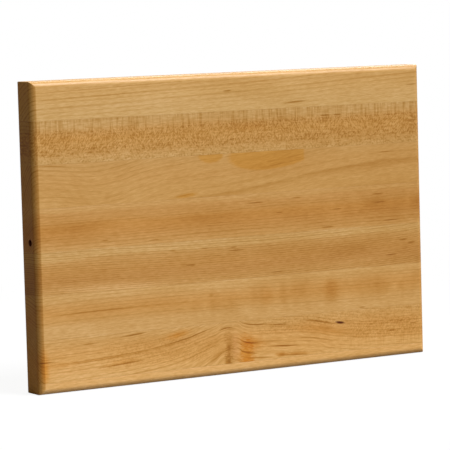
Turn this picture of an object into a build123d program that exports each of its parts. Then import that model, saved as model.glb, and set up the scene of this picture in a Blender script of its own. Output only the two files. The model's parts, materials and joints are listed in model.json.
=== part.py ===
"""Edge-grain maple cutting board: eight staves glued edge to edge, routed round both faces.

The board stands on one long edge, as it does on a shelf. X runs along the staves, Z crosses
them and Y is the thickness, with the face in use towards -Y. The origin is in the middle of
the edge that it stands on. Lengths are in millimetres.
"""

import os

from build123d import *

# The finished board
LENGTH = 457.2  # 18 in, along the grain
HEIGHT = 304.8  # 12 in, across the staves
THICKNESS = 31.75  # 1 1/4 in, between the two faces
FACE_ROUNDOVER = 6.35  # the 1/4 in router bit that runs round both faces
CORNER_EASING = 1.0  # the four square corners, broken with a sanding block

# The glue-up: equal full staves between two outer ones that were ripped to the board's height
FULL_STAVES = 6
TOP_STAVE = 38.2  # all but a full stave is left of the top one
BOTTOM_STAVE = 11.0  # only a narrow strip is left of the bottom one
GLUE_FILM = 0.12  # what clamping leaves between two planed edges

# The blind hole drilled into the left end's grain
HOLE_DIAMETER = 6.0
HOLE_DEPTH = 25.0
HOLE_FROM_FRONT = 11.6  # from the face in use to the hole's axis
HOLE_BELOW_MIDDLE = 4.0  # from mid-height down to the hole's axis

GLUE_LINES = FULL_STAVES + 1
full_stave = (HEIGHT - TOP_STAVE - BOTTOM_STAVE - GLUE_LINES * GLUE_FILM) / FULL_STAVES
stave_widths = [BOTTOM_STAVE] + FULL_STAVES * [full_stave] + [TOP_STAVE]
stave_names = ["bottom_strip"] + [f"stave_{n}" for n in range(2, FULL_STAVES + 2)] + ["top_stave"]


def drill_hole():
    """Drills the blind hole into the left end of the part being built."""
    mouth = Plane(
        origin=(-LENGTH / 2, HOLE_FROM_FRONT - THICKNESS / 2, HEIGHT / 2 - HOLE_BELOW_MIDDLE),
        z_dir=(-1, 0, 0),
    )
    with Locations(mouth):
        Hole(radius=HOLE_DIAMETER / 2, depth=HOLE_DEPTH)


# The whole board, glued, sawn to size, routed and drilled
with BuildPart() as board:
    Box(LENGTH, THICKNESS, HEIGHT, align=(Align.CENTER, Align.CENTER, Align.MIN))
    fillet(board.faces().filter_by(Axis.Y).edges(), radius=FACE_ROUNDOVER)
    with BuildSketch(Plane.XZ.offset(-THICKNESS / 2)):
        with Locations((0, HEIGHT / 2)):
            RectangleRounded(LENGTH, HEIGHT, CORNER_EASING)
    extrude(amount=THICKNESS, mode=Mode.INTERSECT)
    drill_hole()


def write_slice(name, low, thickness):
    """Writes what the board holds between two heights, a stave or a glue film, as one STEP file."""
    with BuildPart() as piece:
        add(board.part)
        if low > 0:
            split(bisect_by=Plane.XY.offset(low), keep=Keep.TOP)
        if low + thickness < HEIGHT - GLUE_FILM / 2:
            split(bisect_by=Plane.XY.offset(low + thickness), keep=Keep.BOTTOM)
    piece.part.label = name
    export_step(piece.part, f"parts/{name}.step")


os.makedirs("parts", exist_ok=True)
height = 0.0
for number, (name, width) in enumerate(zip(stave_names, stave_widths), start=1):
    write_slice(name, height, width)
    height += width
    if number <= GLUE_LINES:
        write_slice(f"glue_line_{number}", height, GLUE_FILM)
        height += GLUE_FILM
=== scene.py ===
"""Edge-grain maple cutting board, standing on one long edge in a plain studio.

Eight staves are glued edge to edge and the whole block is routed round both faces. Each stave is
cut from its own plank, so each has its own figure: the way its rings lie, its pale and warm
bands, and the flecks, stains and knot that a maker would know it by. Places on the wood are in
millimetres: along the stave from the left end, in from the front face, and up from its lower
joint. Everything else is in metres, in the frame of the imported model.
"""

from __future__ import annotations

import json
import logging
import math
from dataclasses import dataclass, field
from enum import Enum
from functools import reduce

import bpy
from mathutils import Matrix, Vector


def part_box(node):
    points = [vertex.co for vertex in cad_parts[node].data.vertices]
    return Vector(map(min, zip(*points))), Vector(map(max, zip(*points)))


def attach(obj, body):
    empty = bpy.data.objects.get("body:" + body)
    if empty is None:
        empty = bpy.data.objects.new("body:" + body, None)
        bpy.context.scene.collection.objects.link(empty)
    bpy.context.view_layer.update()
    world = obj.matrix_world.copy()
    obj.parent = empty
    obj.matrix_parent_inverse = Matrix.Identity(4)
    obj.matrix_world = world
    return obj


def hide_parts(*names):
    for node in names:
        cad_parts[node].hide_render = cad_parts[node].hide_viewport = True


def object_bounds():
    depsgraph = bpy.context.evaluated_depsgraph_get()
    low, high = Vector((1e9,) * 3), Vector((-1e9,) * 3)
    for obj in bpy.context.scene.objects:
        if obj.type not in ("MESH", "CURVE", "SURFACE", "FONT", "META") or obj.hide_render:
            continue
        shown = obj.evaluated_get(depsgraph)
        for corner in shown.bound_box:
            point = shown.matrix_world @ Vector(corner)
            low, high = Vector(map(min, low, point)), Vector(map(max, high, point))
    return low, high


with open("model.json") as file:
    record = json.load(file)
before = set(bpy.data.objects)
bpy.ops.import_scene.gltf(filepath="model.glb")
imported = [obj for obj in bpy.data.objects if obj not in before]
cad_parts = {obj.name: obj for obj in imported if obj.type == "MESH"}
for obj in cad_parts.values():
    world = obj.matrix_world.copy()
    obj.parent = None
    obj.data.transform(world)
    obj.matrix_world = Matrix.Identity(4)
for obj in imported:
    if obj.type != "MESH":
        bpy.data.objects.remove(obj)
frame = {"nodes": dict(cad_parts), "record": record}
CAD_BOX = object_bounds()

LOG = logging.getLogger("cutting_board")
MM = 0.001

# The board, as the router and the sander left it
FACE_ROUNDOVER = 6.35 * MM
CORNER_EASING = 1.0 * MM
ARC_SEGMENTS = 14  # straight steps in each quarter round
CREASE_ANGLE = math.radians(30)  # a sharper edge than this isn't shaded across
QUARTER_TURN = math.pi / 2
NO_STOP = 1000.0  # past the end of every stave

Colour = tuple[float, float, float]
Span = tuple[float, float]
Bands = tuple[tuple[float, Colour], ...]
Socket = bpy.types.NodeSocket
WHITE = (1.0, 1.0, 1.0)


@dataclass(frozen=True)
class Pattern:
    """A smooth noise through the wood, from 0 to 1 with its middle at 0.5.

    Its cells are how many there are to a millimetre, along the stave, in from the face and up. A
    small number along it and larger ones across give marks that are long and thin.
    """

    cells: tuple[float, float, float]
    detail: float = 2.0
    roughness: float = 0.5
    seed: float = 0.0  # what sets it apart from the stave's other patterns


RING_SWAY = Pattern((0.009, 0.02, 0.03), 1.5)
RING_RIPPLE = Pattern((0.035, 0.05, 0.12))
YEAR_WIDTHS = Pattern((0.45, 1.0, 1.0), 1.0)  # its cells are to a year
LINE_BREAKS = Pattern((0.02, 0.3, 0.3), seed=7)
STREAKS = Pattern((0.007, 0.2, 0.2), 4.0, 0.7)
NAP = Pattern((0.13, 1.0, 1.0), roughness=0.6)
PORES = Pattern((0.3, 3.0, 3.0), 1.0, seed=3)
FLECK_TURNS = Pattern((0.03, 0.03, 0.05), 1.0, seed=1)
DENSE_FLECKS = Pattern((0.88, 0.2, 0.42), 1.5)
COMB_STROKES = Pattern((0.5, 0.1, 0.04), roughness=0.6)
FINE_SPECKS = Pattern((0.5, 0.3, 0.55), 1.5, seed=5)
CURL_BANDS = Pattern((0.06, 0.04, 0.02), roughness=0.6)
TORN_EDGE = Pattern((0.25, 0.25, 0.9), seed=2)
BAND_SWAY = Pattern((0.012, 0.03, 0.05), seed=11)
CLOUDS = Pattern((0.012, 0.02, 0.03), 3.0, 0.6, seed=23)
ZONE_EDGE = Pattern((0.06, 0.05, 0.12), 3.0, 0.65, seed=31)
GLUE_PATCHES = Pattern((90, 400, 400), 3.0, 0.6, seed=3)  # its cells are to a metre
STRAY_CELLS = (0.03, 0.12, 0.12)

# Where on its pattern each mark starts to show, and where it is full
LATE_WOOD = (0.55, 0.85)
LATE_WOOD_END = (0.88, 1.0)
UNBROKEN = (0.25, 0.6)
OPEN_PORE = (0.64, 0.76)
DENSE_SHOWS = (0.42, 0.6)
COMB_SHOWS = (0.44, 0.68)
FINE_SHOWS = (0.46, 0.66)
TURNED_FLECK = (0.45, 0.6)
STRAY_SHOWS = (0.7, 1.0)
STRAY_SIZES = (0.001, 0.17)  # in cells


def colour(red: int, green: int, blue: int) -> Colour:
    """Turns a paint-chart colour, 0 to 255 in each channel, into the linear light that shaders use.

    Args:
        red: The red channel.
        green: The green channel.
        blue: The blue channel.

    Returns:
        The colour in linear light.
    """
    def linear(channel: int) -> float:
        """Undoes the display curve on one channel."""
        share = channel / 255
        return share / 12.92 if share <= 0.04045 else ((share + 0.055) / 1.055) ** 2.4

    return linear(red), linear(green), linear(blue)


class Wiring:
    """Adds nodes to one shader or geometry tree, and links them."""

    def __init__(self, tree: bpy.types.NodeTree) -> None:
        """Keeps the tree that the nodes go into.

        Args:
            tree: The node tree to build in.
        """
        self.tree = tree

    def node(self, kind: str, given: dict | None = None, **settings: object) -> bpy.types.Node:
        """Adds a node.

        Args:
            kind: The node's type, as Blender names it.
            given: What goes into its inputs, by name or place: sockets or plain values.
            **settings: The node's own properties, such as its operation.

        Returns:
            The new node.
        """
        made = self.tree.nodes.new(kind)
        for name, value in settings.items():
            setattr(made, name, value)
        for name, source in (given or {}).items():
            self.plug(made.inputs[name], source)
        return made

    def plug(self, target: Socket, source: object) -> None:
        """Links a socket to an input, or sets the input's own value.

        Args:
            target: The input.
            source: A socket to link, or a plain value. A colour is red, green and blue.
        """
        if isinstance(source, Socket):
            self.tree.links.new(source, target)
        elif target.type == "RGBA":
            target.default_value = (*source, 1.0)
        else:
            target.default_value = source

    def math(self, operation: str, *values: object) -> Socket:
        """Adds a math node on one to three sockets or numbers, and gives its result."""
        return self.node("ShaderNodeMath", dict(enumerate(values)), operation=operation).outputs[0]

    def total(self, *values: object) -> Socket:
        """Adds sockets or numbers up."""
        return reduce(lambda first, second: self.math("ADD", first, second), values)

    def product(self, *values: object) -> Socket:
        """Multiplies sockets or numbers together."""
        return reduce(lambda first, second: self.math("MULTIPLY", first, second), values)

    def less(self, value: object, taken: object) -> Socket:
        """Takes one value from another."""
        return self.math("SUBTRACT", value, taken)

    def rest(self, share: object) -> Socket:
        """Gives what a share leaves of 1."""
        return self.less(1.0, share)

    def over(self, value: object, divider: object) -> Socket:
        """Divides one value by another."""
        return self.math("DIVIDE", value, divider)

    def length(self, *parts: object) -> Socket:
        """Gives the length of a vector from its parts at right angles."""
        return self.math("SQRT", self.total(*(self.product(part, part) for part in parts)))

    def centred(self, noise: object, size: object = 1.0) -> Socket:
        """Moves a noise's middle from 0.5 to 0, and scales it."""
        return self.product(self.total(noise, -0.5), size)

    def ease(self, value: object, start: object, stop: object, low: float = 0, high: float = 1) -> Socket:
        """Carries a value smoothly from low to high as it goes from start to stop.

        Args:
            value: The value that is read.
            start: Where the change begins.
            stop: Where the change is over.
            low: What comes out before start.
            high: What comes out past stop.

        Returns:
            The eased value's socket.
        """
        given = dict(enumerate((value, start, stop, low, high)))
        return self.node("ShaderNodeMapRange", given, interpolation_type="SMOOTHSTEP").outputs[0]

    def fade(self, value: object, start: object, stop: object) -> Socket:
        """Carries a value smoothly from 1 down to 0 as it goes from start to stop."""
        return self.ease(value, start, stop, 1, 0)

    def split(self, vector: Socket) -> tuple[Socket, Socket, Socket]:
        """Takes a vector apart."""
        x, y, z = self.node("ShaderNodeSeparateXYZ", {0: vector}).outputs
        return x, y, z

    def join(self, x: object, y: object, z: object) -> Socket:
        """Puts three values together as a vector."""
        return self.node("ShaderNodeCombineXYZ", {0: x, 1: y, 2: z}).outputs[0]

    def scaled(self, vector: Socket, factors: tuple[float, float, float]) -> Socket:
        """Multiplies a vector's three parts by three numbers."""
        return self.node("ShaderNodeVectorMath", {0: vector, 1: factors}, operation="MULTIPLY").outputs[0]

    def noise(self, pattern: Pattern, place: Socket, seed: object = 0.0) -> Socket:
        """Lays a pattern through the wood.

        Args:
            pattern: The pattern.
            place: The place in the wood.
            seed: The stave's own seed.

        Returns:
            The noise's socket.
        """
        if pattern.seed:
            seed = self.total(seed, pattern.seed)
        given = {
            "Vector": self.scaled(place, pattern.cells), "W": seed, "Scale": 1.0,
            "Detail": pattern.detail, "Roughness": pattern.roughness,
        }
        return self.node("ShaderNodeTexNoise", given, noise_dimensions="4D").outputs[0]

    def blend(self, share: object, first: object, second: object, how: str = "MIX") -> Socket:
        """Mixes two colours.

        Args:
            share: How much of the second colour shows.
            first: The colour below.
            second: The colour laid over it.
            how: The way they mix.

        Returns:
            The mixed colour's socket.
        """
        made = self.node("ShaderNodeMix", data_type="RGBA", blend_type=how)
        given = {"Factor_Float": share, "A_Color": first, "B_Color": second}
        for target in made.inputs:
            if target.identifier in given:
                self.plug(target, given[target.identifier])
        return next(s for s in made.outputs if s.identifier == "Result_Color")


def emptied(owner: bpy.types.Material | bpy.types.World) -> Wiring:
    """Clears the nodes of a material or a world, to wire it afresh.

    Args:
        owner: The material or world.

    Returns:
        The wiring of its empty tree.
    """
    owner.use_nodes = True
    owner.node_tree.nodes.clear()
    return Wiring(owner.node_tree)


def put_in_scene(name: str, data: bpy.types.ID) -> bpy.types.Object:
    """Makes an object and puts it in the scene.

    Args:
        name: The object's name.
        data: Its mesh, light or camera.

    Returns:
        The object.
    """
    made = bpy.data.objects.new(name, data)
    bpy.context.scene.collection.objects.link(made)
    return made


class SharedEffect:
    """A shader node group that several finishes use, built once and placed by name."""

    def __init__(self, name: str, inputs: dict[str, object]) -> None:
        """Makes the empty group and its inputs.

        Args:
            name: The group's name.
            inputs: Each input's name and default; a vector's default is None.
        """
        self.tree = bpy.data.node_groups.new(name, "ShaderNodeTree")
        for label, default in inputs.items():
            kind = "NodeSocketVector" if default is None else "NodeSocketFloat"
            socket = self.tree.interface.new_socket(name=label, in_out="INPUT", socket_type=kind)
            if default is not None:
                socket.default_value = default
        self.wiring = Wiring(self.tree)
        self.given = self.wiring.node("NodeGroupInput").outputs

    def giving(self, **results: Socket) -> SharedEffect:
        """Makes the group's outputs, all of them plain values.

        Args:
            **results: What each output gives, by its name.

        Returns:
            The group itself.
        """
        for label in results:
            self.tree.interface.new_socket(name=label, in_out="OUTPUT", socket_type="NodeSocketFloat")
        self.wiring.node("NodeGroupOutput", results)
        return self

    def place(self, wiring: Wiring, **values: object) -> bpy.types.NodeOutputs:
        """Puts the group into a finish.

        Args:
            wiring: The finish's own wiring.
            **values: The inputs by name, with spaces written as underscores.

        Returns:
            The placed group's outputs.
        """
        given = {name.replace("_", " "): value for name, value in values.items()}
        return wiring.node("ShaderNodeGroup", given, node_tree=self.tree).outputs


def growth_rings() -> SharedEffect:
    """Builds the year rings: shells round a pith line that the stave was cut beside.

    Returns:
        The group, which gives the dark late-wood line, a value of its own for each year, and the
        place across the ring.
    """
    group = SharedEffect(
        "growth_rings",
        {
            "Place": None, "Lie": 0.0, "Pith In": 50.0, "Pith Up": 0.0, "Ring Width": 3.0,
            "Wander": 2.0, "Seed": 0.0,
        },
    )
    slow_share, quick_share, inward_share = 4, 0.8, 0.5  # how far each sways the rings
    year_change = 1.3  # how much the years differ in width
    faintest = 0.3  # what a broken line keeps of its darkness
    w, given = group.wiring, group.given
    _, inward, up = w.split(given["Place"])
    slow = w.centred(w.noise(RING_SWAY, given["Place"], given["Seed"]), slow_share)
    quick = w.centred(w.noise(RING_RIPPLE, given["Place"], given["Seed"]), quick_share)
    sway = w.product(w.total(slow, quick), given["Wander"])
    rise = w.total(w.less(w.less(up, given["Lie"]), given["Pith Up"]), sway)
    depth = w.total(w.less(inward, given["Pith In"]), w.product(sway, inward_share))
    years = w.over(w.length(rise, depth), given["Ring Width"])
    uneven = w.noise(YEAR_WIDTHS, w.join(years, 0.0, 0.0), given["Seed"])
    years = w.total(years, w.product(uneven, year_change))
    across = w.math("FRACT", years)
    year = w.join(w.math("FLOOR", years), given["Seed"], 0.0)
    chance = w.node("ShaderNodeTexWhiteNoise", {"Vector": year}, noise_dimensions="2D")
    late = w.product(w.ease(across, *LATE_WOOD), w.fade(across, *LATE_WOOD_END))
    broken = w.ease(w.noise(LINE_BREAKS, given["Place"], given["Seed"]), *UNBROKEN, faintest, 1)
    return group.giving(Line=w.product(late, broken), Year=chance.outputs["Value"], Across=across)


def fibre() -> SharedEffect:
    """Builds the wood's threads: long streaks, the fine nap between them, and short open pores.

    Returns:
        The group, whose Streak and Nap have their middle at 0 and whose Pore is a mask.
    """
    group = SharedEffect("fibre", {"Place": None, "Lie": 0.0, "Seed": 0.0})
    w, given = group.wiring, group.given
    along, inward, up = w.split(given["Place"])
    laid = w.join(along, inward, w.less(up, given["Lie"]))
    return group.giving(
        Streak=w.centred(w.noise(STREAKS, laid, given["Seed"]), 2),
        Nap=w.centred(w.noise(NAP, laid, given["Seed"]), 2),
        Pore=w.ease(w.noise(PORES, laid, given["Seed"]), *OPEN_PORE),
    )


def ray_fleck() -> SharedEffect:
    """Builds the flecks of a quarter-sawn face, where the cut runs along the wood's rays.

    Returns:
        The group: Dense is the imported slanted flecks, Comb the upright strokes, Fine the small
        specks between them. All three are masks.
    """
    group = SharedEffect("ray_fleck", {"Place": None, "Slant": 0.5, "Seed": 0.0})
    turned_slant = -0.6  # how much flecks lean the other way where they turn
    w, given = group.wiring, group.given
    along, inward, up = w.split(given["Place"])
    right, left = (
        w.noise(DENSE_FLECKS, w.join(w.less(along, w.product(up, lean)), inward, up), given["Seed"])
        for lean in (given["Slant"], w.product(given["Slant"], turned_slant))
    )
    turned = w.ease(w.noise(FLECK_TURNS, given["Place"], given["Seed"]), *TURNED_FLECK)
    packed = w.total(w.product(left, turned), w.product(right, w.rest(turned)))
    return group.giving(
        Dense=w.ease(packed, *DENSE_SHOWS),
        Comb=w.ease(w.noise(COMB_STROKES, given["Place"], given["Seed"]), *COMB_SHOWS),
        Fine=w.ease(w.noise(FINE_SPECKS, given["Place"], given["Seed"]), *FINE_SHOWS),
    )


def curl() -> SharedEffect:
    """Builds the upright ripples of wavy grain, which show as broad bands across a stave.

    Returns:
        The group, whose Band has its middle at 0.
    """
    group = SharedEffect("curl", {"Place": None, "Seed": 0.0})
    w, given = group.wiring, group.given
    return group.giving(Band=w.centred(w.noise(CURL_BANDS, given["Place"], given["Seed"]), 2))


def mark() -> SharedEffect:
    """Builds one fleck or stain: an oval that follows the grain and fades into the wood behind.

    Returns:
        The group, whose Mask is 1 inside the oval.
    """
    group = SharedEffect(
        "mark",
        {
            "Place": None, "Lie": 0.0, "Along": 0.0, "Up": 0.0, "Half Length": 5.0, "Half Width": 1.0,
            "Softness": 0.5, "Ragged": 0.3, "Reach": 3.0, "Stop": NO_STOP,
        },
    )
    stop_blur = 1.5  # how soft the cut at its stop is, to either side, in millimetres
    w, given = group.wiring, group.given
    along, inward, up = w.split(given["Place"])
    run = w.over(w.less(along, given["Along"]), given["Half Length"])
    rise = w.over(w.less(w.less(up, given["Lie"]), given["Up"]), given["Half Width"])
    torn = w.product(w.centred(w.noise(TORN_EDGE, given["Place"]), 2), given["Ragged"])
    inside = w.fade(w.total(w.length(run, rise), torn), w.rest(given["Softness"]), 1.0)
    shallow = w.fade(inward, w.product(given["Reach"], 0.5), given["Reach"])
    before = w.fade(w.less(along, given["Stop"]), -stop_blur, stop_blur)
    return group.giving(Mask=w.product(inside, shallow, before))


def stray_flecks() -> SharedEffect:
    """Builds the small brown dashes that turn up anywhere in maple.

    Returns:
        The group, whose Mask is 1 on a dash.
    """
    group = SharedEffect("stray_flecks", {"Place": None, "Lie": 0.0, "Seed": 0.0})
    smallest = 0.03  # a dash under this size, in cells, is left out
    w, given = group.wiring, group.given
    along, inward, up = w.split(given["Place"])
    laid = w.scaled(w.join(along, inward, w.less(up, given["Lie"])), STRAY_CELLS)
    cells = w.node(
        "ShaderNodeTexVoronoi", {"Vector": laid, "W": given["Seed"], "Scale": 1.0},
        voronoi_dimensions="4D", feature="F1",
    )
    red, _, _ = w.split(cells.outputs["Color"])
    size = w.ease(red, *STRAY_SHOWS, *STRAY_SIZES)
    inside = w.fade(w.over(cells.outputs["Distance"], size), 0.5, 1.0)
    return group.giving(Mask=w.product(inside, w.math("GREATER_THAN", size, smallest)))


def end_grain() -> SharedEffect:
    """Builds the change from long grain to end grain, read from which way the surface faces.

    The left end's darker colour reaches well round its roundovers, partly end grain and partly painted shade
    on the side turned from the light; the right end's hardly goes past its face.

    Returns:
        The group, whose Share is 1 on the ends and whose Edge is 1 on the roundovers.
    """
    group = SharedEffect("end_grain", {"Normal": None})
    # painted shade: half the left end's colour comes in as soon as the roundover turns from the front, the
    # other half on the end grain itself; the right end, towards the light, gets no such shade
    first_turn, last_turn = (0.0, -0.25), (-0.86, -1.0)  # where the left end's colour comes in
    right_power = 3.0  # holds the right end's colour back to where it faces almost right
    flat_face = (0.8, 0.99)
    w, given = group.wiring, group.given
    sideways, _, _ = w.split(given["Normal"])
    left = w.total(
        w.product(w.ease(sideways, *first_turn), 0.5), w.product(w.ease(sideways, *last_turn), 0.5)
    )
    right = w.math("POWER", w.math("MAXIMUM", sideways, 0.0), right_power)
    across, front, top = (w.math("ABSOLUTE", part) for part in w.split(given["Normal"]))
    squarest = w.math("MAXIMUM", w.math("MAXIMUM", across, front), top)
    return group.giving(Share=w.total(left, right), Edge=w.fade(squarest, *flat_face))


class Tone(Enum):
    """The stains that maple takes, as what each leaves of the wood's red, green and blue."""

    AMBER = (0.97, 0.84, 0.46)
    FLAME = (0.92, 0.69, 0.25)
    GREY = (0.76, 0.66, 0.50)
    ROSE = (0.99, 0.95, 0.99)
    BARK = (0.18, 0.06, 0.0)


class FleckKind(Enum):
    """The looks that ray fleck has, by the name of the shared effect's output."""

    DENSE = "Dense"
    COMB = "Comb"
    FINE = "Fine"


@dataclass(frozen=True)
class Mark:
    """A darker fleck or patch on a stave's front, in millimetres on that stave."""

    along: float
    up: float
    length: float
    width: float
    depth: float = 1.0  # less than 0 makes it paler than the wood round it
    softness: float = 0.7  # the share of it that fades out
    ragged: float = 0.25
    reach: float = 3.0  # how far it goes into the wood
    stop: float = NO_STOP  # where along the stave it is cut off


@dataclass(frozen=True)
class Stain(Mark):
    """A mark that changes the wood's hue; its depth is the share of the stain that shows."""

    tone: Tone = Tone.FLAME


@dataclass(frozen=True)
class FleckZone:
    """A part of a stave where ray fleck shows, in millimetres on that stave."""

    kind: FleckKind
    low: float
    high: float
    depth: float
    start: float = -40.0
    stop: float = 500.0
    fade: float = 3.0
    end_fade: float = 40.0
    slant: float = 0.5


@dataclass(frozen=True)
class CurlZone:
    """A part of a stave where the grain is wavy, in millimetres on that stave."""

    start: float
    stop: float
    low: float
    high: float
    depth: float
    fade: float = 4.0
    end_fade: float = 40.0


@dataclass(frozen=True)
class Knot:
    """A knot on the front, and how steeply the grain to the left of it climbs towards it."""

    along: float
    lift: float
    spread: float
    top: float


@dataclass(frozen=True)
class Lie:
    """How a stave's grain rises and falls along it, as points of (along, rise) in millimetres."""

    points: tuple[tuple[float, float], ...]
    knot: Knot | None = None

    def at(self, along: float) -> float:
        """Reads the rise at one place, with straight runs between the points.

        Args:
            along: The place along the stave.

        Returns:
            The rise there.
        """
        for (start, low), (stop, high) in zip(self.points, self.points[1:]):
            if along <= stop:
                return low + (high - low) * (along - start) / (stop - start)
        return self.points[-1][1]

    def wire(self, w: Wiring, along: Socket, up: Socket) -> Socket:
        """Builds the same rise in a finish, with the points joined by a smooth curve.

        Args:
            w: The finish's wiring.
            along: The place along the stave.
            up: The place across it.

        Returns:
            The rise's socket.
        """
        reach = self.points[-1][0]
        lows = min(rise for _, rise in self.points)
        span = max(max(rise for _, rise in self.points) - lows, 1.0)
        bend = w.node("ShaderNodeFloatCurve")
        line = bend.mapping.curves[0]
        for index, (place, rise) in enumerate(self.points):
            spot = (place / reach, (rise - lows) / span)
            if index < len(line.points):
                line.points[index].location = spot
            else:
                line.points.new(*spot)
        bend.mapping.update()
        w.plug(bend.inputs["Value"], w.over(along, reach))
        rise = w.total(w.product(bend.outputs[0], span), lows)
        if self.knot is None:
            return rise
        left = w.math("MAXIMUM", w.less(self.knot.along, along), 0.0)
        right = w.math("MAXIMUM", w.less(along, self.knot.along), 0.0)
        near = w.total(w.over(left, -self.knot.spread), w.product(right, -1))
        climb = w.product(w.math("EXPONENT", near), self.knot.lift)
        return w.total(rise, w.product(climb, w.fade(up, 0.0, self.knot.top)))


@dataclass(frozen=True)
class Rings:
    """Where the pith lay beside a stave, in millimetres on that stave, and how its rings look."""

    pith_in: float
    pith_up: float
    ring_width: float
    wander: float
    depth: float


@dataclass(frozen=True)
class Figure:
    """All that makes one stave's wood its own."""

    bands: Bands
    lie: Lie
    rings: Rings
    seed: float
    marks: tuple[Mark, ...] = ()
    stains: tuple[Stain, ...] = ()
    flecks: tuple[FleckZone, ...] = ()
    curls: tuple[CurlZone, ...] = ()
    streak: float = 0.4
    nap: float = 1.3


@dataclass(frozen=True)
class Polish:
    """The satin of oiled maple: how rough it is, and how high each part of its texture stands."""

    roughness: float = 0.38
    nap_roughness: float = 0.08
    end_roughness: float = 0.22
    edge_smoothness: float = 0.04  # what the roundovers are smoother by
    specular: float = 0.28
    depth: float = 0.06 * MM
    strength: float = 0.3
    nap: float = 0.3
    streak: float = 0.2
    pore: float = -0.6
    line: float = 0.2
    fleck: float = 0.2


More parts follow.
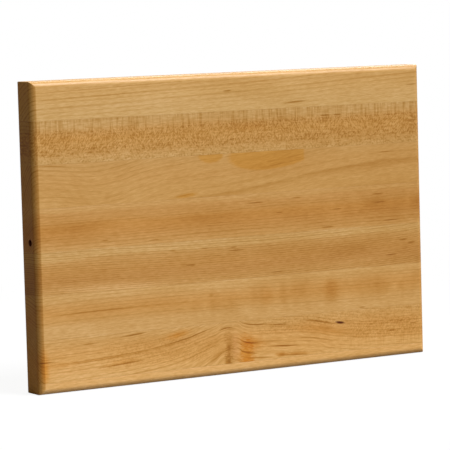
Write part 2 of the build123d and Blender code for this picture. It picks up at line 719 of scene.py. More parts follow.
@dataclass
class OiledMaple:
    """The satin, oiled finish of one stave.

    The shared effects are built once and handed in, so that every stave's finish uses the same.
    Most of what shows in maple is one thing: more or less depth of colour. So the lines, flecks
    and patches are added up as a depth, and the pale ground is deepened by their sum.
    """

    effects: dict[str, SharedEffect]
    figure: Figure
    name: str
    low: float
    width: float
    polish: Polish = Polish()
    deepening: Colour = (0.80, 0.71, 0.50)  # what one unit of depth leaves of each colour
    pore_depth: float = 0.35
    stray_depth: float = 0.5
    end_depth: float = 2.25
    end_boldness: float = 1.3  # how much bolder the rings are on the ends
    year_spread: Span = (0.1, 1.0)  # which years lie between the faintest line and the boldest
    year_strengths: Span = (0.3, 1.0)
    right_shade_depth: float = 0.36  # painted shade: how much darker the wood is made towards the right end, where the light falls off
    band_sway: float = 7.0  # how far the bands wander, in millimetres
    band_lean: float = 0.25  # how much they rise on the way in from the face
    cloud_depth: float = 1.2
    zone_sway: float = 9.0  # how ragged the fleck zones' edges are, in millimetres
    row_rise: Span = (0.0, 0.5)  # where across a ring the fleck gains strength
    row_edge: float = 0.55  # what it keeps at the ring's edge
    bore: Bore | None = None
    burn_and_shade: float = 7.0  # the depth of colour on the bore's wall: burnt wood and painted shade inside the hole
    burn_and_shade_out: Span = (0.1, 0.7)  # where it fades, in millimetres out from the wall
    burn_and_shade_past: Span = (1.0, 2.0)  # and past the bore's bottom

    def build(self) -> bpy.types.Material:
        """Makes the stave's material.

        Returns:
            The material.
        """
        material = bpy.data.materials.new(f"oiled_maple_{self.name}")
        self.w = w = emptied(material)
        self._lay_out()
        ring, thread, facing = self.ring, self.thread, self.facing
        fleck = self._flecked()
        year = w.ease(ring["Year"], *self.year_spread, *self.year_strengths)
        bold = w.total(self.figure.rings.depth, w.product(facing["Share"], self.end_boldness))
        depth = w.total(
            w.product(ring["Line"], year, bold),
            w.product(thread["Streak"], self.figure.streak),
            w.product(thread["Nap"], self.figure.nap),
            w.product(thread["Pore"], self.pore_depth),
            # the end grain's darker colour, which on the left roundover is also painted shade
            w.product(facing["Share"], self.end_depth),
            # painted shade: the wood darkens evenly towards the right end, for the light that falls off there
            w.product(self.along, self.right_shade_depth * MM / CAD_BOX[1].x / 2),
            fleck,
            self._marked(),
            # burnt wood and painted shade on the bore's wall
            self._burnt_and_shaded(),
        )
        shade = w.blend(1.0, self._ground(), self._deepened(depth), "MULTIPLY")
        for stain in self.figure.stains:
            share = w.product(self._mask(stain), stain.depth)
            shade = w.blend(share, shade, stain.tone.value, "MULTIPLY")
        polish = self.polish
        rough = w.total(
            polish.roughness,
            w.product(thread["Nap"], polish.nap_roughness),
            w.product(facing["Share"], polish.end_roughness),
            w.product(facing["Edge"], -polish.edge_smoothness),
        )
        height = w.total(
            w.product(thread["Nap"], polish.nap),
            w.product(thread["Streak"], polish.streak),
            w.product(thread["Pore"], polish.pore),
            w.product(ring["Line"], polish.line),
            w.product(fleck, polish.fleck),
        )
        raised = {"Strength": polish.strength, "Distance": polish.depth, "Height": height}
        normal = w.node("ShaderNodeBump", raised).outputs[0]
        looks = {
            "Base Color": shade, "Roughness": rough, "Specular IOR Level": polish.specular, "Normal": normal
        }
        surface = w.node("ShaderNodeBsdfPrincipled", looks).outputs[0]
        w.node("ShaderNodeOutputMaterial", {"Surface": surface})
        return material

    def _lay_out(self) -> None:
        """Reads the place on the stave, in millimetres along, in and up, and lays its grain."""
        w, rings, seed = self.w, self.figure.rings, self.figure.seed
        corner = (CAD_BOX[0].x, CAD_BOX[0].y, self.low)
        given = {
            "Vector": w.node("ShaderNodeTexCoord").outputs["Object"], "Scale": (1 / MM,) * 3,
            "Location": tuple(-part / MM for part in corner),
        }
        self.place = w.node("ShaderNodeMapping", given).outputs[0]
        self.along, self.inward, self.up = w.split(self.place)
        self.lie = self.figure.lie.wire(w, self.along, self.up)
        self.ring = self.effects["growth_rings"].place(
            w, Place=self.place, Lie=self.lie, Pith_In=rings.pith_in, Pith_Up=rings.pith_up,
            Ring_Width=rings.ring_width, Wander=rings.wander, Seed=seed,
        )
        self.thread = self.effects["fibre"].place(w, Place=self.place, Lie=self.lie, Seed=seed)
        normal = w.node("ShaderNodeNewGeometry").outputs["Normal"]
        self.facing = self.effects["end_grain"].place(w, Normal=normal)

    def _deepened(self, depth: Socket) -> Socket:
        """Turns a depth of colour, where less than 0 is paler, into what is left of each colour."""
        return self.w.join(*(self.w.math("POWER", left, depth) for left in self.deepening))

    def _ground(self) -> Socket:
        """Lays the stave's pale and warm bands, which wander a little along it.

        Returns:
            The ground colour's socket.
        """
        w, seed = self.w, self.figure.seed
        sway = w.centred(w.noise(BAND_SWAY, self.place, seed), self.band_sway)
        level = w.total(self.up, sway, w.product(self.inward, self.band_lean))
        ramp = w.node("ShaderNodeValToRGB", {0: w.over(level, self.width / MM)})
        ramp.color_ramp.interpolation = "LINEAR"
        stops = ramp.color_ramp.elements
        for index, (position, tone) in enumerate(self.figure.bands):
            stop = stops[index] if index < len(stops) else stops.new(position)
            stop.position = position
            stop.color = (*tone, 1.0)
        cloud = w.centred(w.noise(CLOUDS, self.place, seed), self.cloud_depth)
        return w.blend(1.0, ramp.outputs[0], self._deepened(cloud), "MULTIPLY")

    def _within(self, zone: FleckZone | CurlZone, level: Socket) -> Socket:
        """Fades a zone out at its edges.

        Args:
            zone: The zone.
            level: The height on the stave, as the zone's edges see it.

        Returns:
            The zone's mask.
        """
        w = self.w
        return w.product(
            w.ease(level, zone.low - zone.fade, zone.low + zone.fade),
            w.fade(level, zone.high - zone.fade, zone.high + zone.fade),
            w.ease(self.along, zone.start, zone.start + zone.end_fade),
            w.fade(self.along, zone.stop - zone.end_fade, zone.stop),
        )

    def _flecked(self) -> Socket | float:
        """Adds up the ray fleck of the stave's zones, and the wavy grain of its curls.

        Returns:
            Their depth of colour.
        """
        w, seed = self.w, self.figure.seed
        depth = 0.0
        for zone in self.figure.flecks:
            level = w.total(self.up, w.centred(w.noise(ZONE_EDGE, self.place, seed), self.zone_sway))
            ray = self.effects["ray_fleck"].place(w, Place=self.place, Slant=zone.slant, Seed=seed)
            rows = w.ease(self.ring["Across"], *self.row_rise, self.row_edge, 1)
            fleck = w.product(ray[zone.kind.value], self._within(zone, level), rows, zone.depth)
            depth = w.total(depth, fleck)
        for zone in self.figure.curls:
            band = self.effects["curl"].place(w, Place=self.place, Seed=seed)["Band"]
            depth = w.total(depth, w.product(band, self._within(zone, self.up), zone.depth))
        return depth

    def _marked(self) -> Socket:
        """Adds up the stave's own marks, and the stray flecks that turn up anywhere.

        Returns:
            Their depth of colour.
        """
        w = self.w
        stray = self.effects["stray_flecks"].place(
            w, Place=self.place, Lie=self.lie, Seed=self.figure.seed
        )
        own = (w.product(self._mask(spot), spot.depth) for spot in self.figure.marks)
        return w.total(w.product(stray["Mask"], self.stray_depth), *own)

    def _burnt_and_shaded(self) -> Socket | float:
        """Darkens the wall of the bore, both for the wood the bit has burnt and as painted shade inside the
        hole.

        Returns:
            The depth of colour there, or 0 on a stave without a bore.
        """
        if self.bore is None:
            return 0.0
        w = self.w
        out = w.length(
            w.total(self.inward, -self.bore.inward / MM), w.total(self.up, (self.low - self.bore.up) / MM)
        )
        wall = w.fade(out, *(self.bore.radius / MM + gap for gap in self.burn_and_shade_out))
        bottom = w.fade(self.along, *(self.bore.depth / MM + gap for gap in self.burn_and_shade_past))
        return w.product(wall, bottom, self.burn_and_shade)

    def _mask(self, spot: Mark) -> Socket:
        """Places one mark. It follows the grain, unless it stands taller than it is long.

        Args:
            spot: The mark.

        Returns:
            Its mask.
        """
        upright = spot.width > spot.length
        return self.effects["mark"].place(
            self.w, Place=self.place, Lie=0.0 if upright else self.lie, Along=spot.along,
            Up=spot.up if upright else spot.up - self.figure.lie.at(spot.along),
            Half_Length=spot.length / 2, Half_Width=spot.width / 2, Softness=spot.softness,
            Ragged=spot.ragged, Reach=spot.reach, Stop=spot.stop,
        )["Mask"]


@dataclass
class DriedGlue:
    """The thin amber line of set glue between two staves."""

    tone: Colour = colour(176, 126, 68)
    dark: Colour = colour(150, 102, 50)
    patches: Span = (0.35, 0.7)  # where on its pattern the dark one comes in
    roughness: float = 0.45
    unevenness: float = 0.15

    def build(self) -> bpy.types.Material:
        """Makes the glue's material.

        Returns:
            The material.
        """
        material = bpy.data.materials.new("dried_glue")
        material.use_nodes = True
        w = Wiring(material.node_tree)
        surface = material.node_tree.nodes["Principled BSDF"]
        patchy = w.noise(GLUE_PATCHES, w.node("ShaderNodeTexCoord").outputs["Object"])
        w.plug(surface.inputs["Base Color"], w.blend(w.ease(patchy, *self.patches), self.tone, self.dark))
        w.plug(surface.inputs["Roughness"], w.total(self.roughness, w.product(patchy, self.unevenness)))
        return material


class SliceTree:
    """The geometry tree that makes one layer of the routed block, from one height to another.

    It starts from a tube whose rings are the board's plan, a rounded rectangle. Near the board's
    long edges a ring is as thick as the roundover leaves it there, so the roundovers of edge and
    end meet in a mitre, and the corners are eased.
    """

    LENGTHS = (
        "Length", "Thickness", "Height", "Roundover", "Easing", "Low", "High",
        "Bore Radius", "Bore Depth", "Bore In", "Bore Up",
    )
    KINDS = dict.fromkeys(LENGTHS, "Float") | {"Segments": "Int", "Finish": "Material"}
    NEAR = 0.1 * MM  # a layer that comes this close to the board's edge ends on it
    BIT_SIDES = 56
    BIT_RINGS = 40
    RIM = 0.5 * MM  # how far in the bore's mouth is flared
    TEAR = 0.25 * MM  # how uneven the bore's wall is
    TEAR_CELLS = (2.5, 2.5, 500)  # across the bit, which is 1 in radius, and to a metre along it

    def __init__(self) -> None:
        """Builds the tree."""
        self.tree = bpy.data.node_groups.new("routed_slice", "GeometryNodeTree")
        face = self.tree.interface
        face.new_socket(name="Geometry", in_out="INPUT", socket_type="NodeSocketGeometry")
        self.sockets = {
            name: face.new_socket(name=name, in_out="INPUT", socket_type=f"NodeSocket{kind}").identifier
            for name, kind in self.KINDS.items()
        }
        face.new_socket(name="Geometry", in_out="OUTPUT", socket_type="NodeSocketGeometry")
        self.w = Wiring(self.tree)
        self.given = self.w.node("NodeGroupInput").outputs
        self._finish(self._drilled(self._routed()))

    def _tube(self, sides: object, rings: object) -> Socket:
        """Makes a closed tube, 1 long and 1 in radius, of so many sides and rings."""
        given = {"Vertices": sides, "Side Segments": rings, "Radius": 1.0, "Depth": 1.0}
        return self.w.node("GeometryNodeMeshCylinder", given, fill_type="NGON").outputs["Mesh"]

    def _moved(self, mesh: Socket, place: Socket) -> Socket:
        """Moves each vertex of a mesh to its place."""
        return self.w.node("GeometryNodeSetPosition", {"Geometry": mesh, "Position": place}).outputs[0]

    def _quarter(self, step: Socket) -> Socket:
        """Turns a step of the quarter round, from 0 to the number of segments, into its angle."""
        return self.w.product(self.w.over(step, self.given["Segments"]), QUARTER_TURN)

    def _lost(self, radius: Socket, gap: Socket) -> Socket:
        """Works out what a quarter round takes off, at a distance in from the edge.

        Args:
            radius: The quarter round's radius.
            gap: The distance in from the edge.

        Returns:
            The depth that is lost there.
        """
        w = self.w
        short = w.math("MAXIMUM", w.less(radius, gap), 0.0)
        left = w.math("MAXIMUM", w.less(w.product(radius, radius), w.product(short, short)), 0.0)
        return w.less(radius, w.math("SQRT", left))

    def _routed(self) -> Socket:
        """Makes the layer itself.

        Returns:
            The mesh's socket.
        """
        w, given = self.w, self.given
        radius = given["Roundover"]
        corner = w.total(given["Segments"], 1.0)
        levels = w.total(w.product(given["Segments"], 2.0), 1.0)
        around = w.product(corner, 4.0)
        spot = w.math("MODULO", w.node("GeometryNodeInputIndex").outputs[0], around)
        turn = w.math("FLOOR", w.over(w.total(spot, 0.5), corner))
        step = w.less(spot, w.product(turn, corner))
        angle = w.total(self._quarter(step), w.product(turn, QUARTER_TURN))
        middle = w.product(w.total(turn, 0.5), QUARTER_TURN)
        _, _, raised = w.split(w.node("GeometryNodeInputPosition").outputs[0])
        z = self._level(w.math("ROUND", w.product(w.total(raised, 0.5), levels)), levels)
        half_height = w.product(given["Height"], 0.5)
        gap = w.less(half_height, w.math("ABSOLUTE", w.less(z, half_height)))

        def spread(size: str, wave: str, rounding: Socket) -> Socket:
            """Places the ring along one side of the plan, and thins it near the long edges.

            Args:
                size: The board's size that way.
                wave: The wave that gives a quarter round's reach that way.
                rounding: The radius that thins the ring.

            Returns:
                The place.
            """
            side = w.math("SIGN", w.math(wave, middle))
            half = w.product(given[size], 0.5)
            plan = w.total(w.product(side, w.less(half, radius)), w.product(radius, w.math(wave, angle)))
            thinned = w.less(half, self._lost(rounding, gap))
            return w.product(side, w.math("MINIMUM", w.math("ABSOLUTE", plan), thinned))

        x = spread("Length", "COSINE", given["Easing"])
        y = spread("Thickness", "SINE", radius)
        return self._moved(self._tube(around, levels), w.join(x, y, z))

    def _level(self, step: Socket, levels: Socket) -> Socket:
        """Works out the height of one ring of the tube. Rings crowd together where a roundover is.

        Args:
            step: The ring's number, from the bottom.
            levels: The last ring's number.

        Returns:
            The ring's height.
        """
        w, given = self.w, self.given
        low, high, segments = given["Low"], given["High"], given["Segments"]
        quarter = w.product(w.less(high, low), 0.25)
        at_foot = w.math("LESS_THAN", low, self.NEAR)
        at_top = w.math("GREATER_THAN", high, w.less(given["Height"], self.NEAR))

        def crowded(edge: Socket, count: Socket) -> Socket:
            """Gives how far in from its edge a ring lies, over the roundover or a quarter layer.

            Args:
                edge: 1 if the edge is the board's own.
                count: The ring's number, from that edge.

            Returns:
                The distance in.
            """
            deep = w.total(w.product(edge, given["Roundover"]), w.product(w.rest(edge), quarter))
            turned = self._quarter(w.math("MINIMUM", count, segments))
            return w.product(deep, w.rest(w.math("COSINE", turned)))

        lower = w.total(low, crowded(at_foot, step))
        upper = w.less(high, crowded(at_top, w.less(levels, step)))
        is_upper = w.math("GREATER_THAN", step, w.total(segments, 0.5))
        return w.total(w.product(is_upper, upper), w.product(w.rest(is_upper), lower))

    def _drilled(self, block: Socket) -> Socket:
        """Cuts the blind hole into the left end, if this layer has one. Its rim is slightly torn.

        Args:
            block: The layer's mesh.

        Returns:
            The drilled mesh's socket.
        """
        w, given = self.w, self.given
        x, y, z = w.split(w.node("GeometryNodeInputPosition").outputs[0])
        share = w.less(0.5, z)
        # the bit starts twice the rim's width outside the end, and its rings crowd near the mouth
        deep = w.product(share, share, w.total(given["Bore Depth"], 2 * self.RIM))
        inside = w.less(deep, 2 * self.RIM)
        flare = w.ease(inside, self.RIM, -self.RIM, 0.0, self.RIM)
        cells = w.scaled(w.join(x, y, inside), self.TEAR_CELLS)
        torn = w.node("ShaderNodeTexNoise", {"Vector": cells, "Scale": 1.0}, noise_dimensions="3D").outputs[0]
        radius = w.total(given["Bore Radius"], flare, w.centred(torn, self.TEAR))
        front = w.product(given["Thickness"], -0.5)
        place = w.join(
            w.total(w.product(given["Length"], -0.5), inside),
            w.total(front, given["Bore In"], w.product(y, radius)),
            w.total(given["Bore Up"], w.product(x, radius)),
        )
        bit = self._moved(self._tube(self.BIT_SIDES, self.BIT_RINGS), place)
        pair = {"Mesh 1": block, "Mesh 2": bit}
        cut = w.node("GeometryNodeMeshBoolean", pair, operation="DIFFERENCE", solver="EXACT").outputs["Mesh"]
        bored = w.math("GREATER_THAN", given["Bore Radius"], 0.0)
        choices = {"Switch": bored, "False": block, "True": cut}
        return w.node("GeometryNodeSwitch", choices, input_type="GEOMETRY").outputs[0]

    def _finish(self, mesh: Socket) -> None:
        """Shades the layer smooth between its creases and gives it its finish.

        Args:
            mesh: The finished shape.
        """
        w = self.w
        smooth = w.node("GeometryNodeSetShadeSmooth", {"Geometry": mesh}, domain="FACE").outputs[0]
        angle = w.node("GeometryNodeInputMeshEdgeAngle").outputs["Unsigned Angle"]
        sharp = w.math("GREATER_THAN", angle, CREASE_ANGLE)
        crease = {"Geometry": smooth, "Selection": sharp, "Shade Smooth": False}
        creased = w.node("GeometryNodeSetShadeSmooth", crease, domain="EDGE").outputs[0]
        real = w.node("GeometryNodeRealizeInstances", {"Geometry": creased}).outputs[0]
        painted = w.node("GeometryNodeSetMaterial", {"Geometry": real, "Material": self.given["Finish"]})
        w.node("NodeGroupOutput", {0: painted.outputs[0]})


@dataclass
class Bore:
    """The blind hole in the end grain, in the frame's metres."""

    radius: float
    depth: float
    inward: float
    up: float

    @classmethod
    def from_record(cls, record: dict) -> Bore:
        """Reads the hole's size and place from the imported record.

        Args:
            record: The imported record.

        Returns:
            The hole.
        """
        mount = next(m for m in record["mounts"] if m["name"] == "end_hole")
        _, y, z = mount["pos_m"]
        return cls(mount["dims"]["r_mm"] * MM, mount["dims"]["length_mm"] * MM, y - CAD_BOX[0].y, z)


@dataclass
class Board:
    """The glued-up, routed block: its size and the tree that makes each of its layers."""

    roundover: float = FACE_ROUNDOVER
    easing: float = CORNER_EASING
    segments: int = ARC_SEGMENTS
    shading_weight: int = 100  # leaves the shading of a vertex to its largest faces
    size: Vector = field(default_factory=lambda: CAD_BOX[1] - CAD_BOX[0])
    layers: SliceTree = field(default_factory=SliceTree)

    def layer(
        self, name: str, node: str, finish: bpy.types.Material, bore: Bore | None = None
    ) -> bpy.types.Object:
        """Makes the layer of the board that stands for one CAD node.

        Args:
            name: The new piece's name.
            node: The CAD node that it stands for.
            finish: The layer's material.
            bore: The hole in its end, if it has one.

        Returns:
            The finished piece, riding with the board.
        """
        low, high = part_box(node)
        hole = bore or Bore(0.0, 0.0, 0.0, 0.0)
        sizes = {
            "Length": self.size.x, "Thickness": self.size.y, "Height": self.size.z,
            "Roundover": self.roundover, "Easing": self.easing, "Low": low.z, "High": high.z,
            "Bore Radius": hole.radius, "Bore Depth": hole.depth, "Bore In": hole.inward, "Bore Up": hole.up,
            "Segments": self.segments, "Finish": finish,
        }
        rough = put_in_scene(f"{name}_rough", bpy.data.meshes.new(f"{name}_rough"))
        shaper = rough.modifiers.new("shape", "NODES")
        shaper.node_group = self.layers.tree
        for label, value in sizes.items():
            shaper[self.layers.sockets[label]] = value
        even = rough.modifiers.new("even_shading", "WEIGHTED_NORMAL")
        even.keep_sharp = True
        even.weight = self.shading_weight
        bpy.context.view_layer.update()
        graph = bpy.context.evaluated_depsgraph_get()
        mesh = bpy.data.meshes.new_from_object(rough.evaluated_get(graph), depsgraph=graph)
        mesh.name = name
        bpy.data.objects.remove(rough)
        piece = put_in_scene(name, mesh)
        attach(piece, "root")
        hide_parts(node)
        LOG.info("%s: %d faces, stands for %s", name, len(mesh.polygons), node)
        return piece


def straight(rise: float = 0.0) -> Lie:
    """Makes the lie of straight grain that rises evenly to the right, by so many millimetres."""
    return Lie(((0.0, 0.0), (228.0, rise / 2), (457.0, rise)))


def banded(*rows: tuple[float, int, int, int]) -> Bands:
    """Makes a stave's bands from their shares of the way up and paint-chart colours."""
    return tuple((up, colour(*paint)) for up, *paint in rows)


FIGURES: dict[str, Figure] = {
    "bottom_strip": Figure(
        bands=banded((0.0, 222, 175, 111), (0.5, 221, 174, 110), (1.0, 220, 172, 109)),
        lie=straight(2.0),
        rings=Rings(pith_in=30, pith_up=-50, ring_width=4.5, wander=0.8, depth=0.15),
        seed=1.3,
    ),
    "stave_2": Figure(
        bands=banded(
            (0.0, 216, 170, 107), (0.2, 214, 165, 100), (0.45, 211, 161, 95), (0.65, 210, 160, 95),
            (0.85, 207, 160, 97), (1.0, 207, 163, 103),
        ),
        lie=Lie(
            (
                (0, 0), (60, 2), (127, 6.6), (165, 12), (178, 15.5), (200, 21.5), (218, 26), (231, 21.5),
                (245, 18.5), (280, 16.5), (305, 15), (345, 8), (390, 3), (457, 0),
            ),
            Knot(along=216, lift=19, spread=22, top=34),
        ),
        rings=Rings(pith_in=60, pith_up=-40, ring_width=2.4, wander=0.8, depth=0.85),
        seed=2.7,
        flecks=(
            FleckZone(FleckKind.DENSE, 11, 29, 1.0, start=340),
            FleckZone(FleckKind.COMB, 2, 14, 0.5, start=330),
            FleckZone(FleckKind.FINE, 8, 34, 0.55, start=50, stop=215),
            FleckZone(FleckKind.FINE, 26, 42, 0.7, start=230),
        ),
        marks=(
            Mark(90, 21.1, 230, 1.8, 1.6, 0.9, 0.4), Mark(70, 18.2, 150, 1.6, 1.0, 0.9, 0.4),
            Mark(168, 30.7, 86, 2.2, 2.4, 0.8, 0.3), Mark(91, 11.9, 64, 2.1, 2.4, 0.8),
            Mark(105, 39.7, 36, 2.0, 2.6, 0.8), Mark(56, 34.9, 26, 1.9, 1.5, 0.8),
            Mark(5, 20.4, 26, 1.8, 2.5), Mark(211, 35, 22, 1.8, 2.8),
            Mark(215, 18, 16, 46, 1.0, 1.0, 0.9), Mark(215, 16, 6, 9, 1.2, 1.0, 0.5),
            Mark(214, 1, 13, 24, 2.2, 1.0, 0.6), Mark(203, 2, 30, 14, 1.0, 1.0),
            Mark(196, 20, 46, 22, 0.4, 1.0), Mark(236, 10, 34, 2.6, 2.4, 0.9),
            Mark(240, 19.5, 30, 2.6, 2.4, 0.9), Mark(252, 3, 40, 2.4, 1.6, 0.9),
            Mark(281, 12.4, 46, 2.2, 2.4, 0.8), Mark(262, 19, 60, 1.8, 1.3, 0.8),
            Mark(332, 24, 90, 15, 0.4, 1.0), Mark(292, 2, 50, 2.6, 1.9, 0.9),
            Mark(298, 3.5, 44, 6, 0.8, 1.0), Mark(275, 34.9, 34, 2.0, 2.4, 0.8),
            Mark(245, 37.3, 54, 1.9, 2.4, 0.8), Mark(325, 33, 60, 2.3, 2.4, 0.8),
            Mark(320, 16, 70, 2.0, 1.3, 0.8), Mark(277, 4, 18, 7, 1.3, 1.0),
            Mark(414, 16.8, 17, 1.8, 1.7), Mark(427, 26, 11, 1.8, 1.7), Mark(442, 22, 12, 1.8, 1.7),
        ),
        stains=(
            Stain(236, 8, 24, 52, 0.9, 0.8, 0.9), Stain(241, 19, 42, 22, 0.8, 1.0, 0.6),
            Stain(236, 0, 40, 22, 0.6, 1.0, 0.6),
            Stain(216, 15, 20, 50, 0.45, 1.0, 0.8, tone=Tone.GREY),
            Stain(223, 16, 12, 46, 1.0, 0.8, 0.5, tone=Tone.ROSE),
            Stain(155, 35, 44, 12, 0.8, 1.0, 0.4), Stain(22, 17, 70, 9, 0.3, 1.0, 0.4),
            Stain(5, 14, 16, 56, 0.9, 0.9, 0.4, 9.0), Stain(90, 14, 46, 8, 0.35, 1.0, 0.4),
            Stain(277, 4, 22, 9, 0.5, 1.0, 0.4), Stain(300, 3, 54, 5, 0.4, 1.0, 0.4),
            Stain(326, 26, 96, 18, 0.35, 1.0, 0.4),
            Stain(350, 30.4, 15, 3.6, 1.0, 0.6, 0.3, tone=Tone.BARK),
        ),
    ),
    "stave_3": Figure(
        bands=banded(
            (0.0, 206, 162, 102), (0.25, 203, 158, 97), (0.4, 199, 150, 85), (0.55, 199, 147, 80),
            (0.7, 200, 150, 85), (0.85, 203, 158, 97), (1.0, 206, 163, 103),
        ),
        lie=Lie(((0, 0), (100, 4), (200, 3), (300, -1), (457, -3))),
        rings=Rings(pith_in=40, pith_up=-60, ring_width=3.2, wander=0.8, depth=0.65),
        seed=3.9,
        nap=1.05,
        curls=(CurlZone(150, 520, 6, 34, 0.6),),
        marks=(
            Mark(340, 22, 24, 40, 0.45, 1.0, 0.5), Mark(282, 18, 20, 34, 0.35, 1.0, 0.5),
            Mark(400, 20, 30, 34, 0.35, 1.0, 0.5), Mark(100, 24, 210, 5, 0.5, 1.0),
            Mark(62, 22.5, 130, 1.5, 1.3, 0.8), Mark(250, 21, 150, 1.5, 0.7, 0.9),
            Mark(196, 28.9, 8, 4, 0.8, 0.9), Mark(378, 1.5, 12, 1.8, 1.7),
        ),
        stains=(
            Stain(340, 24, 30, 34, 0.3, 1.0, 0.5), Stain(262, 22, 22, 34, 0.2, 1.0, 0.5),
        ),
    ),
    "stave_4": Figure(
        bands=banded(
            (0.0, 197, 151, 89), (0.15, 192, 143, 80), (0.3, 190, 139, 76), (0.5, 190, 139, 74),
            (0.65, 192, 143, 79), (0.78, 196, 150, 88), (0.84, 202, 160, 100), (1.0, 202, 161, 103),
        ),
        lie=Lie(((0, 0), (114, -2), (229, -4), (343, -3), (457, 2))),
        rings=Rings(pith_in=10, pith_up=-120, ring_width=2.1, wander=0.7, depth=1.3),
        seed=5.1,
        marks=(
            Mark(365, 20, 90, 26, 0.4, 1.0), Mark(80, 3, 240, 16, -0.7, 1.0, 0.3, 9.0),
            Mark(226, 29.5, 26, 1.7, 2), Mark(224, 32.8, 11, 1.6, 1.9), Mark(173, 18.8, 16, 1.8, 1.7),
            Mark(152, 34.5, 12, 1.6, 1.3), Mark(190, 34.5, 12, 1.6, 1.4), Mark(432, 27.2, 13, 2, 2),
            Mark(442, 23.1, 13, 1.7, 1.9), Mark(417, 12.4, 17, 1.6, 2), Mark(274, 4, 17, 1.6, 1.3),
        ),
    ),
    "stave_5": Figure(
        bands=banded(
            (0.0, 199, 153, 91), (0.15, 194, 144, 80), (0.3, 191, 138, 72), (0.42, 190, 135, 67),
            (0.56, 190, 135, 66), (0.7, 192, 141, 76), (0.84, 194, 144, 81), (0.93, 199, 153, 91),
            (1.0, 199, 153, 93),
        ),
        lie=straight(5.0),
        rings=Rings(pith_in=-40, pith_up=-60, ring_width=2.6, wander=1.0, depth=0.85),
        seed=6.2,
        nap=1.1,
        curls=(CurlZone(300, 520, 6, 38, 0.6),),
        marks=(
            Mark(396, 25, 36, 24, 0.7, 1.0), Mark(455, 24, 34, 30, 0.8, 1.0),
            Mark(45, 22, 100, 17, 0.55, 1.0), Mark(190, 22, 130, 17, 0.4, 1.0),
            Mark(76, 7.2, 11, 1.6, 1.4), Mark(132, 3.9, 19, 1.6, 1.3), Mark(251, 33.4, 24, 1.7, 2),
            Mark(300, 35.4, 16, 1.6, 1.7), Mark(279, 21.7, 11, 1.6, 1.4), Mark(350, 20.7, 16, 1.6, 1.7),
            Mark(401, 33.4, 18, 2.1, 1.7), Mark(404, 24.5, 18, 1.7, 1.9), Mark(417, 4.9, 26, 1.6, 1.9),
            Mark(338, 2.9, 24, 2, 1.6),
        ),
    ),
    "stave_6": Figure(
        bands=banded(
            (0.0, 199, 153, 90), (0.3, 198, 152, 89), (0.55, 197, 150, 87), (0.8, 198, 152, 90),
            (1.0, 198, 154, 94),
        ),
        lie=Lie((
            (0, 6), (25, 5), (50, 2), (68, 1), (88, 3), (115, 9), (140, 14), (180, 18), (230, 22), (290, 29),
            (330, 35), (370, 39), (457, 43),
        )),
        rings=Rings(pith_in=-50, pith_up=-30, ring_width=3.6, wander=1.2, depth=0.88),
        seed=7.7,
        nap=1.0,
        marks=(
            Mark(280, 29, 76, 4, 0.45, 1.0, 0.3, 6, 311), Mark(20, 40.5, 50, 2.4, 1.2, 1.0),
            Mark(168, 3.4, 30, 2.2, 0.9, 0.9), Mark(411, 33.7, 23, 1.6, 1.3),
        ),
        stains=(
            Stain(284, 45, 134, 42, 0.92, 0.12, 0.06, 6, 311, Tone.AMBER),
            Stain(201, 43, 36, 21, 0.9, 0.3, 0.15, 6, 214, Tone.AMBER),
            Stain(170, 3, 34, 6, 0.9, 0.7, 0.3, tone=Tone.AMBER),
        ),
    ),
    "stave_7": Figure(
        bands=banded(
            (0.0, 199, 158, 100), (0.15, 199, 155, 95), (0.35, 200, 153, 90), (0.55, 201, 153, 88),
            (0.7, 200, 153, 91), (0.85, 198, 156, 98), (1.0, 199, 159, 102),
        ),
        lie=straight(1.0),
        rings=Rings(pith_in=16, pith_up=-90, ring_width=4.0, wander=0.4, depth=0.2),
        seed=8.4,
        flecks=(
            FleckZone(FleckKind.DENSE, 9, 32, 1.45),
            FleckZone(FleckKind.COMB, 28, 60, 1.2),
            FleckZone(FleckKind.FINE, -20, 14, 1.1),
        ),
        streak=0.2,
        marks=(
            Mark(338, 33, 16, 2, 2.1), Mark(353, 33, 13, 2, 2.1), Mark(244, 25, 60, 12, 0.5, 1.0, 0.6),
            Mark(257, 26, 9, 6, 0.8, 0.9), Mark(30, 22, 60, 14, 0.4, 1.0, 0.6),
            Mark(110, 24, 60, 12, 0.35, 1.0, 0.6), Mark(395, 23, 70, 12, 0.35, 1.0, 0.6),
            Mark(445, 22.9, 24, 1.6, 1.4),
        ),
        stains=(
            Stain(244, 26, 64, 12, 0.22, 1.0, 0.6), Stain(60, 24, 130, 12, 0.16, 1.0, 0.6),
        ),
    ),
    "top_stave": Figure(
        bands=banded(
            (0.0, 206, 167, 110), (0.3, 207, 167, 110), (0.55, 206, 164, 104), (0.8, 206, 162, 101),
            (1.0, 206, 161, 100),
        ),
        lie=Lie(((0, 0), (114, 4), (229, 8), (343, 14), (457, 20))),
        rings=Rings(pith_in=-40, pith_up=-70, ring_width=3.9, wander=0.4, depth=0.8),
        seed=9.8,
        streak=0.2,
        nap=1.0,
        marks=(
            Mark(90, 29.4, 320, 1.5, 0.9, 0.9), Mark(170, 24.5, 420, 1.5, 0.7, 0.9),
            Mark(60, 21, 240, 1.4, 0.6, 0.9), Mark(221, 20.4, 14, 2, 2.3), Mark(302, 5.9, 37, 2.4, 2),
            Mark(447, 17.9, 19, 1.6, 1.7),
        ),
    ),
}


@dataclass(frozen=True)
class SoftLight:
    """A broad soft light, far off, aimed at the board."""

    name: str
    azimuth: float  # which side it stands on, in degrees round from the front
    elevation: float
    spread: float  # how wide it looks from the board, in degrees
    strength: float  # in watts to a square metre


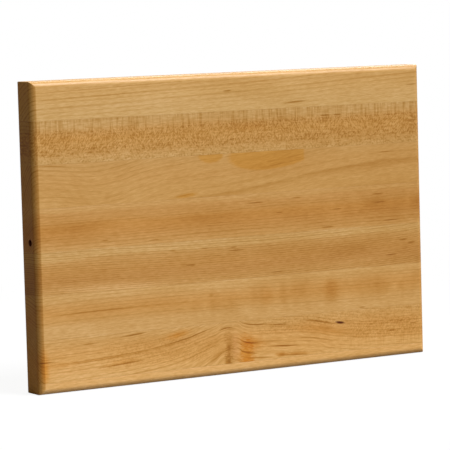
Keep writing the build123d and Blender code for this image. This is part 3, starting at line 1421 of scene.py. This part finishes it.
@dataclass
class Studio:
    """The plain pale floor, the soft lights and the camera."""

    azimuth: float = -31.14
    elevation: float = 4.79
    roll: float = -1.63
    distance: float = 2.708
    lens: float = 213.4
    shift: Span = (-0.0091, -0.0049)
    clip: Span = (0.1, 100.0)
    lights: tuple[SoftLight, ...] = (
        SoftLight("key", azimuth=36, elevation=51, spread=30, strength=3.88),
        SoftLight("back_fill", azimuth=125, elevation=30, spread=40, strength=1.6),
    )
    surround: Span = (0.13, 0.4)  # how strongly it lights the board from left and right
    surround_turn: Span = (-0.9, 0.4)  # where its strength changes over
    left_tint: Colour = (1.0, 0.93, 0.38)
    tint_turn: Span = (-0.8, 0.2)
    floor_radius: float = 6.0
    floor_sides: int = 96
    floor_drop: float = 0.05 * MM  # what keeps it clear of the board's foot
    floor_pale: Colour = (0.86, 0.86, 0.86)
    floor_bounce: Colour = (0.3, 0.29, 0.28)  # its colour as it lights the board
    floor_fade: Span = (0.25, 0.9)  # how far out it turns into the surround
    floor_glow: Span = (0.9, 1.0)  # its share of plain white, near and far

    def build(self) -> None:
        """Sets up everything that isn't the board."""
        bpy.context.scene.view_settings.view_transform = "Standard"
        self._world()
        self._floor()
        for light in self.lights:
            self._hang(light)
        self._camera()
        LOG.info("studio: floor, two soft lights and the camera")

    @staticmethod
    def _picked(w: Wiring, unseen: bpy.types.Node, seen: bpy.types.Node) -> Socket:
        """Picks between two looks by who is looking.

        Args:
            w: The wiring.
            unseen: The shader that lights the board.
            seen: The shader that the camera sees.

        Returns:
            The shader's socket.
        """
        by_camera = w.node("ShaderNodeLightPath").outputs["Is Camera Ray"]
        choices = {0: by_camera, 1: unseen.outputs[0], 2: seen.outputs[0]}
        return w.node("ShaderNodeMixShader", choices).outputs[0]

    def _world(self) -> None:
        """Makes a white surround that the camera sees, and that lights the board only faintly."""
        world = bpy.data.worlds.new("studio")
        w = emptied(world)
        sideways, _, _ = w.split(w.node("ShaderNodeTexCoord").outputs["Generated"])
        tint = w.blend(w.ease(sideways, *self.tint_turn), self.left_tint, WHITE)
        strength = w.ease(sideways, *self.surround_turn, *self.surround)
        lit = w.node("ShaderNodeBackground", {"Color": tint, "Strength": strength})
        seen = w.node("ShaderNodeBackground", {"Color": WHITE})
        w.node("ShaderNodeOutputWorld", {"Surface": self._picked(w, lit, seen)})
        bpy.context.scene.world = world

    def _floor(self) -> None:
        """Lays a pale round floor that takes a faint shadow and fades into the surround."""
        mesh = bpy.data.meshes.new("floor")
        sides = range(self.floor_sides)
        turns = (math.tau * step / self.floor_sides for step in sides)
        radius = self.floor_radius
        ring = [(radius * math.cos(turn), radius * math.sin(turn), -self.floor_drop) for turn in turns]
        mesh.from_pydata(ring, [], [sides])
        floor = put_in_scene("floor", mesh)
        material = bpy.data.materials.new("pale_floor")
        w = emptied(material)
        x, y, _ = w.split(w.node("ShaderNodeTexCoord").outputs["Object"])
        glow = w.ease(w.length(x, y), *self.floor_fade, *self.floor_glow)
        pale = w.node("ShaderNodeBsdfDiffuse", {"Color": self.floor_pale})
        white = w.node("ShaderNodeEmission", {"Color": WHITE})
        near = w.node("ShaderNodeMixShader", {0: glow, 1: pale.outputs[0], 2: white.outputs[0]})
        bounce = w.node("ShaderNodeBsdfDiffuse", {"Color": self.floor_bounce})
        w.node("ShaderNodeOutputMaterial", {"Surface": self._picked(w, bounce, near)})
        mesh.materials.append(material)

    def _hang(self, light: SoftLight) -> None:
        """Hangs one of the lights.

        Args:
            light: The light.
        """
        lamp = bpy.data.lights.new(light.name, "SUN")
        lamp.angle = math.radians(light.spread)
        lamp.energy = light.strength
        hung = put_in_scene(light.name, lamp)
        hung.rotation_euler = self._towards(light.azimuth, light.elevation).to_track_quat("Z", "Y").to_euler()

    @staticmethod
    def _towards(azimuth: float, elevation: float) -> Vector:
        """Works out the direction from the board to a place round it.

        Args:
            azimuth: Degrees round from the front, towards the right end.
            elevation: Degrees up.

        Returns:
            The direction, one unit long.
        """
        turn, lift = math.radians(azimuth), math.radians(elevation)
        return Vector((math.sin(turn) * math.cos(lift), -math.cos(turn) * math.cos(lift), math.sin(lift)))

    def _camera(self) -> None:
        """Sets the camera at the viewing angle, low and towards the left end."""
        roll = math.radians(self.roll)
        back = self._towards(self.azimuth, self.elevation)
        right = (-back).cross(Vector((0, 0, 1))).normalized()
        upright = right.cross(-back)
        across = right * math.cos(roll) + upright * math.sin(roll)
        upward = upright * math.cos(roll) - right * math.sin(roll)
        data = bpy.data.cameras.new("camera")
        data.lens = self.lens
        data.shift_x, data.shift_y = self.shift
        data.clip_start, data.clip_end = self.clip
        camera = put_in_scene("camera", data)
        middle = (CAD_BOX[0] + CAD_BOX[1]) / 2
        camera.matrix_world = Matrix.Translation(middle + back * self.distance) @ Matrix(
            (across, upward, back)
        ).transposed().to_4x4()
        bpy.context.scene.camera = camera


def build_board() -> None:
    """Makes every stave and glue line of the board and dresses it."""
    effects = {
        effect.tree.name: effect
        for effect in (growth_rings(), fibre(), ray_fleck(), curl(), mark(), stray_flecks(), end_grain())
    }
    board = Board()
    bore = Bore.from_record(frame["record"])
    for name, figure in FIGURES.items():
        low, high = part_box(name)
        here = bore if low.z < bore.up < high.z else None
        finish = OiledMaple(effects, figure, name, low.z, high.z - low.z, bore=here).build()
        piece = board.layer(f"{name}_wood", name, finish, here)
    glue = DriedGlue().build()
    for name in sorted(n for n in frame["nodes"] if n.startswith("glue_line")):
        board.layer(f"{name}_film", name, glue)


def main() -> None:
    """Builds the board and the studio round it."""
    logging.basicConfig(level=logging.INFO, format="%(name)s: %(message)s")
    build_board()
    Studio().build()


if __name__ == "__main__":
    main()
